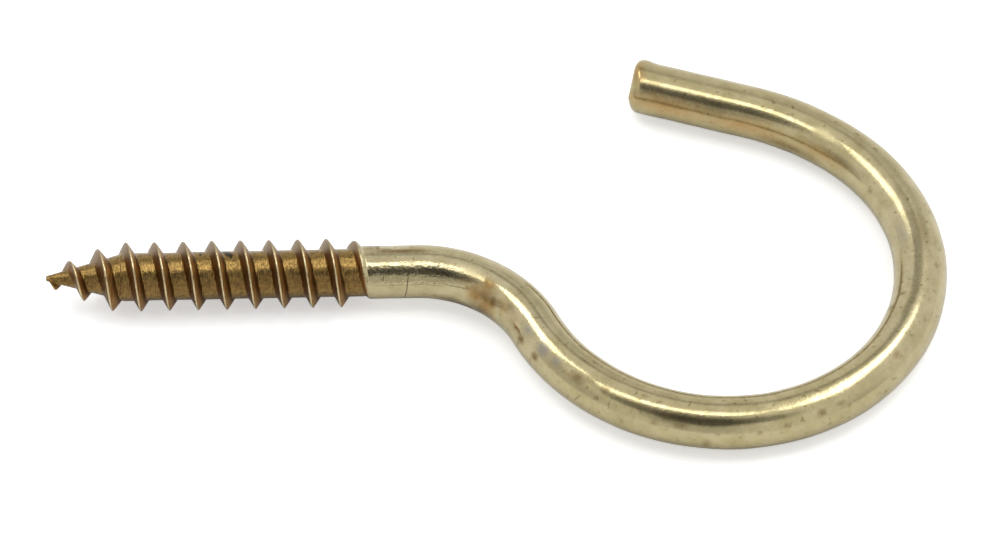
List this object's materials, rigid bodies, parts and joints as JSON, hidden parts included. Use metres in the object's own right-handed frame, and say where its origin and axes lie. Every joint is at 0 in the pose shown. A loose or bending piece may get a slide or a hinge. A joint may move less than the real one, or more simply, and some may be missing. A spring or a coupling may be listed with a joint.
{
  "type": "screw-in cup hook",
  "caption": "Plain screw-in cup hook: round brass wire with a coarse tapering wood-screw thread at one end, offset and bent into a wide open loop to hang things from.",
  "frame": {"origin": "on the screw axis, where the thread ends and the plain shank begins", "axes": "+X along the screw axis from the point towards the loop, +Y in the hook's plane towards the open side of the loop, +Z across the hook's plane; the hook lies flat on its side"},
  "size_m": [0.0679, 0.0373, 0.0052],
  "materials": {
    "brass": "drawn, smooth, lightly stained on the wire and tarnished brown in the thread"
  },
  "bodies": {
    "root": {"cup_hook": "brass"}
  },
  "joints": []
}
